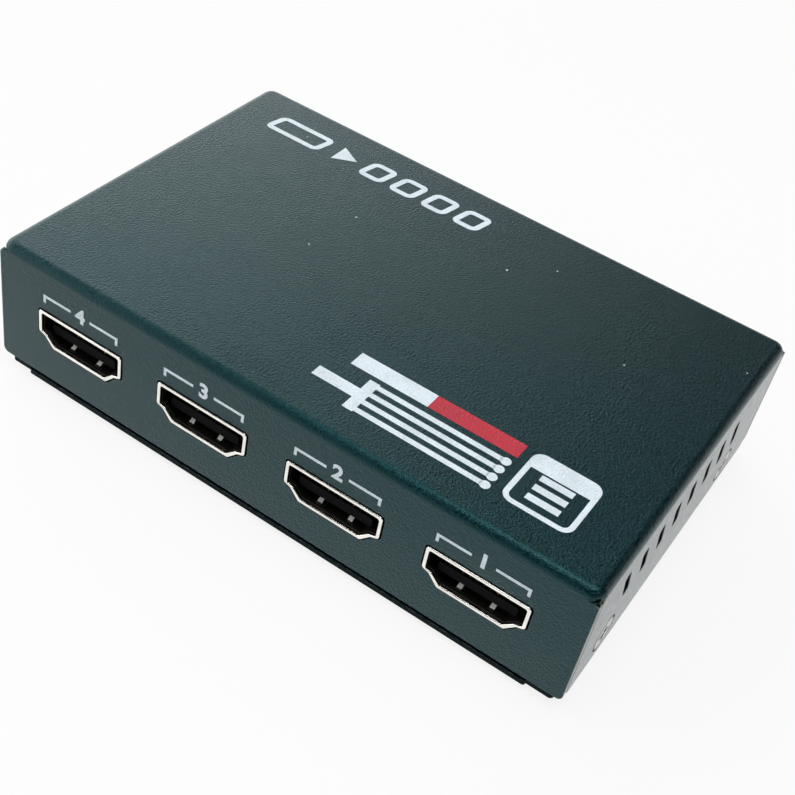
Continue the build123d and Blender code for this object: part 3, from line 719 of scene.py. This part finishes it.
def one_to_four_mark():
    """Outlined box, an arrow and four smaller boxes."""
    bm = bmesh.new()
    for box in (INPUT_BOX, *OUTPUT_BOXES):
        ring(bm, *mm(*box, BOX_STROKE, BOX_CORNER), BOX_LEAN)
    disc(bm, *mm(*ARROW_PLACE, ARROW_RADIUS), segments=3, turn=-pi / 2)
    return bm


def branching_drawing():
    """Line that branches in four, a bar over it, and an outlined panel beside them."""
    bm = bmesh.new()
    bar(bm, *mm(*STEM))
    bar(bm, *mm(*TRUNK))
    for row in BRANCH_ROWS:
        low, high = row - BRANCH_HALF_STROKE, row + BRANCH_HALF_STROKE
        bar(bm, *mm(BRANCH_START, low, BRANCH_END, high))
        disc(bm, *mm(BRANCH_END + TIP_REACH, row, TIP_RADIUS), segments=20)
    bar(bm, *mm(*WHITE_BAR))
    ring(bm, *mm(*PANEL_BOX, PANEL_STROKE, PANEL_CORNER))
    band = bar(bm, *mm(*PANEL_BAND))
    round_corners(bm, [v for v in band if v.co.y > BAND_MIDDLE * MM], BAND_CORNER * MM)
    for line in PANEL_LINES:
        bar(bm, *mm(*line))
    return bm


# Stage


def straight_view(tree):
    """One for the camera's own rays and for those through glass, and the light path."""
    rays = tree.nodes.new("ShaderNodeLightPath").outputs
    return sums(tree, "MAXIMUM", rays["Is Camera Ray"], rays["Is Transmission Ray"]), rays


def lay_floor(scene):
    """Floor that shows nearly white and keeps the object's shadow."""
    bm = bmesh.new()
    bmesh.ops.create_circle(bm, cap_ends=True, segments=64, radius=FLOOR_RADIUS)
    floor = mesh_piece("floor", bm)
    scene.collection.objects.link(floor)
    material, tree, shader = new_material("pale_floor", Roughness=0.7, Specular_IOR_Level=0.35)
    cloud = noise(tree, object_place(tree), scale=9.0, detail=3.0)
    tone = mixed(tree, cloud, (0.88, 0.88, 0.88), (0.92, 0.92, 0.92))
    tree.links.new(tone, shader.inputs["Base Color"])
    seen, rays = straight_view(tree)
    seen = sums(tree, "MAXIMUM", seen, rays["Is Glossy Ray"])
    glow = place(tree, "ShaderNodeEmission")
    blend = place(tree, "ShaderNodeMixShader")
    lit = (product(tree, seen, FLOOR_GLOW), shader.outputs[0], glow.outputs[0])
    for socket, value in zip(blend.inputs, lit):
        tree.links.new(value, socket)
    tree.links.new(blend.outputs[0], tree.nodes["Material Output"].inputs["Surface"])
    floor.data.materials.append(material)


def light_room(scene, window_side):
    """White behind the object, and for its reflections one window and a bright horizon."""
    world = bpy.data.worlds.new("studio")
    scene.world = world
    world.use_nodes = True
    tree = world.node_tree
    back = tree.nodes["Background"]
    back.inputs["Color"].default_value = (1, 1, 1, 1)
    toward = tree.nodes.new("ShaderNodeTexCoord").outputs["Generated"]
    turn = vectors(tree, "DOT_PRODUCT", toward, window_side)
    window = ramp(tree, turn, WINDOW_EDGE, WINDOW_FULL, 0.0, WINDOW_LIGHT)
    height = parts(tree, toward)["Z"]
    horizon = ramp(tree, height, HORIZON_FULL, HORIZON_EDGE, HORIZON_LIGHT, ROOM_LIGHT)
    room = sums(tree, "ADD", window, horizon)
    tree.links.new(sums(tree, "MAXIMUM", straight_view(tree)[0], room), back.inputs["Strength"])


def hang_lamps(scene):
    """Two soft lamps that look at the object."""
    for name, spot, size, power in LAMPS:
        light = bpy.data.lights.new(name, "AREA")
        light.size = size
        light.energy = power
        lamp = bpy.data.objects.new(name, light)
        scene.collection.objects.link(lamp)
        lamp.location = spot
        lamp.rotation_euler = (LAMP_AIM - Vector(spot)).to_track_quat("-Z", "Y").to_euler()


def set_camera(scene, stage):
    """Camera of the photograph."""
    lens = bpy.data.cameras.new("camera")
    lens.lens = stage.lens
    lens.sensor_width = 36.0
    lens.shift_x = stage.shift
    lens.shift_y = -stage.shift
    lens.clip_start = 0.01
    camera = bpy.data.objects.new("camera", lens)
    scene.collection.objects.link(camera)
    scene.camera = camera
    forward = Vector((
        -sin(stage.azimuth) * cos(stage.elevation),
        cos(stage.azimuth) * cos(stage.elevation),
        -sin(stage.elevation),
    ))
    level = forward.cross(Vector((0, 0, 1))).normalized()
    down = forward.cross(level)
    across = cos(stage.roll) * level + sin(stage.roll) * down
    down = cos(stage.roll) * down - sin(stage.roll) * level
    turn = Matrix((across, -down, -forward)).transposed().to_4x4()
    camera.matrix_world = Matrix.Translation(Vector(stage.aim) - stage.distance * forward) @ turn


# Operators


class SPLITTER_OT_coat(bpy.types.Operator):
    """Powder coat for the cover and the tray"""
    bl_idname = "splitter.coat"
    bl_label = "Coat the case"
    bl_options = {"REGISTER", "UNDO"}

    def execute(self, context):
        coat = context.scene.splitter_coat
        cover = coat_material(
            "case_coat", coat.colour, coat.grain, coat.relief, gloss=0.17, shine=1.0, dusty=True
        )
        tray = coat_material(
            "tray_coat", coat.tray_colour, coat.grain, coat.relief,
            gloss=0.5, shine=0.1, dusty=False,
        )
        finish(cover, "top_cover")
        finish(tray, "bottom_tray")
        return {"FINISHED"}


class SPLITTER_OT_sockets(bpy.types.Operator):
    """Nickel shells, moulded tongues and gold contacts"""
    bl_idname = "splitter.sockets"
    bl_label = "Finish the video sockets"
    bl_options = {"REGISTER", "UNDO"}

    def execute(self, context):
        shell = metal_material("nickel_plate", (0.96, 0.94, 0.88), 0.2, CLOSE_ALONG_Y)
        # Painted shade inside the shells and painted highlight on their fingers
        dull_inside(shell)
        tongue = moulded_material(
            "socket_moulding", (0.004, 0.004, 0.0045), 0.6, 7000.0, 0.000004,
            Specular_IOR_Level=0.04,
        )
        gold = metal_material("gold_flash", (0.9, 0.66, 0.28), 0.22, FINE_WIRES)
        for name in SOCKETS:
            finish(shell, name + "_shell")
            finish(tongue, name + "_insulator")
            finish(gold, name + "_contacts")
        return {"FINISHED"}


class SPLITTER_OT_fasteners(bpy.types.Operator):
    """Zinc on the screws and standoffs, rubber on the feet"""
    bl_idname = "splitter.fasteners"
    bl_label = "Finish screws, standoffs and feet"
    bl_options = {"REGISTER", "UNDO"}

    def execute(self, context):
        zinc, sunk = (
            metal_material(name, ZINC, 0.3, EVEN, 0.000006)
            for name in ("zinc_plate", "zinc_side_screw")
        )
        rubber = moulded_material("foot_rubber", (0.018, 0.018, 0.019), 0.7, 3000.0, 0.00002)
        # Painted shade in the side screws' recesses and round their heads
        dark_recess(sunk)
        finish(sunk, "side_screws")
        finish(zinc, "board_screws", "board_standoffs")
        finish(rubber, "rubber_feet")
        return {"FINISHED"}


class SPLITTER_OT_power(bpy.types.Operator):
    """Moulding, plating and tinted resin at the rear"""
    bl_idname = "splitter.power"
    bl_label = "Finish the power jack and lamp"
    bl_options = {"REGISTER", "UNDO"}

    def execute(self, context):
        housing = moulded_material("jack_moulding", (0.014, 0.014, 0.015), 0.4, 5000.0, 0.000005)
        holder = moulded_material(
            "lamp_holder_moulding", (0.02, 0.02, 0.021), 0.5, 5000.0, 0.000006
        )
        pin = metal_material("pin_plate", (0.86, 0.85, 0.82), 0.15, CLOSE_ALONG_Y)
        leaf = metal_material("spring_bronze", (0.8, 0.68, 0.45), 0.25, CLOSE_ALONG_Y)
        tin = metal_material("tin_plate", (0.74, 0.74, 0.72), 0.35, DIPPED)
        lens = moulded_material(
            "lamp_resin", (0.62, 0.03, 0.02), 0.12, 1500.0, 0.000002,
            Transmission_Weight=0.45, IOR=1.5,
        )
        finish(housing, "power_jack_housing")
        finish(holder, "lamp_holder")
        finish(pin, "power_jack_pin")
        finish(leaf, "power_jack_leaf_spring")
        finish(tin, "power_jack_sleeve_terminal", "lamp_lead_wires", "splitter_chip_leads")
        finish(lens, "power_lamp")
        return {"FINISHED"}


class SPLITTER_OT_board(bpy.types.Operator):
    """Solder mask with copper tracks, chips, capacitors and heat sink"""
    bl_idname = "splitter.board"
    bl_label = "Finish the board"
    bl_options = {"REGISTER", "UNDO"}

    def execute(self, context):
        finish(mask_material(0.00003, (0.004, 0.035, 0.018), (0.01, 0.075, 0.035)), "circuit_board")
        for name, colour, gloss, scale, bump, made_of_it in BOARD_MOULDINGS:
            finish(moulded_material(name, colour, gloss, scale, bump), *made_of_it)
        can = metal_material("drawn_can", (0.78, 0.78, 0.76), 0.22, CLOSE_ALONG_X)
        bare = metal_material("bare_aluminium", (0.82, 0.83, 0.84), 0.3, CLOSER_ALONG_Y)
        finish(can, "clock_crystal")
        finish(bare, "heat_sink", "capacitor_cans")
        return {"FINISHED"}


class SPLITTER_OT_printing(bpy.types.Operator):
    """Plain port numbers on the front, a branching line drawing and bars on the top"""
    bl_idname = "splitter.printing"
    bl_label = "Print the case"
    bl_options = {"REGISTER", "UNDO"}

    def execute(self, context):
        ink = context.scene.splitter_print
        coat = context.scene.splitter_coat
        white = ink_material("white_ink", ink.ink, coat.grain, coat.relief)
        red = ink_material("red_ink", ink.accent, coat.grain, coat.relief)

        upright = Matrix.Rotation(pi / 2, 4, "X")
        for number, name in enumerate(OUTPUTS, 1):
            over_port = (socket_middle(name), front_wall, cover_top - ink.label_drop)
            film_piece(
                "port_number_%d" % number, port_label(number, ink),
                Matrix.Translation(over_port) @ upright, ink.film, white,
            )

        corner = Matrix.Translation((left_wall, rear_wall, cover_top))
        top_film = ink.film / 3
        film_piece("one_to_four_mark", one_to_four_mark(), corner, top_film, white)
        film_piece("branching_drawing", branching_drawing(), corner, top_film, white)
        bm = bmesh.new()
        bar(bm, *mm(*RED_BAR))
        film_piece("red_bar", bm, corner, top_film, red)
        return {"FINISHED"}


class SPLITTER_OT_stage(bpy.types.Operator):
    """Floor, soft studio light and camera"""
    bl_idname = "splitter.stage"
    bl_label = "Set the stage"
    bl_options = {"REGISTER", "UNDO"}

    def execute(self, context):
        scene = context.scene
        scene.view_settings.view_transform = "Standard"
        lay_floor(scene)
        light_room(scene, scene.splitter_stage.window)
        hang_lamps(scene)
        set_camera(scene, scene.splitter_stage)
        return {"FINISHED"}


OPERATORS = (
    SPLITTER_OT_coat,
    SPLITTER_OT_sockets,
    SPLITTER_OT_fasteners,
    SPLITTER_OT_power,
    SPLITTER_OT_board,
    SPLITTER_OT_printing,
    SPLITTER_OT_stage,
)
SETTINGS = (
    ("splitter_coat", CoatSettings),
    ("splitter_print", PrintSettings),
    ("splitter_stage", StageSettings),
)


class SPLITTER_PT_panel(bpy.types.Panel):
    """Settings and steps of the video splitter"""
    bl_idname = "SPLITTER_PT_panel"
    bl_label = "Video splitter"
    bl_space_type = "VIEW_3D"
    bl_region_type = "UI"
    bl_category = "Splitter"

    def draw(self, context):
        layout = self.layout
        for name, _ in SETTINGS:
            settings = getattr(context.scene, name)
            box = layout.box()
            for key in settings.bl_rna.properties.keys():
                if key not in ("rna_type", "name"):
                    box.prop(settings, key)
        for operator in OPERATORS:
            layout.operator(operator.bl_idname)


def register():
    for name, settings in SETTINGS:
        bpy.utils.register_class(settings)
        setattr(bpy.types.Scene, name, PointerProperty(type=settings))
    for operator in OPERATORS:
        bpy.utils.register_class(operator)
    bpy.utils.register_class(SPLITTER_PT_panel)


def unregister():
    bpy.utils.unregister_class(SPLITTER_PT_panel)
    for operator in reversed(OPERATORS):
        bpy.utils.unregister_class(operator)
    for name, settings in reversed(SETTINGS):
        delattr(bpy.types.Scene, name)
        bpy.utils.unregister_class(settings)


def main():
    """Register the add-on and make every piece."""
    register()
    for operator in OPERATORS:
        group, name = operator.bl_idname.split(".")
        getattr(getattr(bpy.ops, group), name)()


if __name__ == "__main__":
    main()
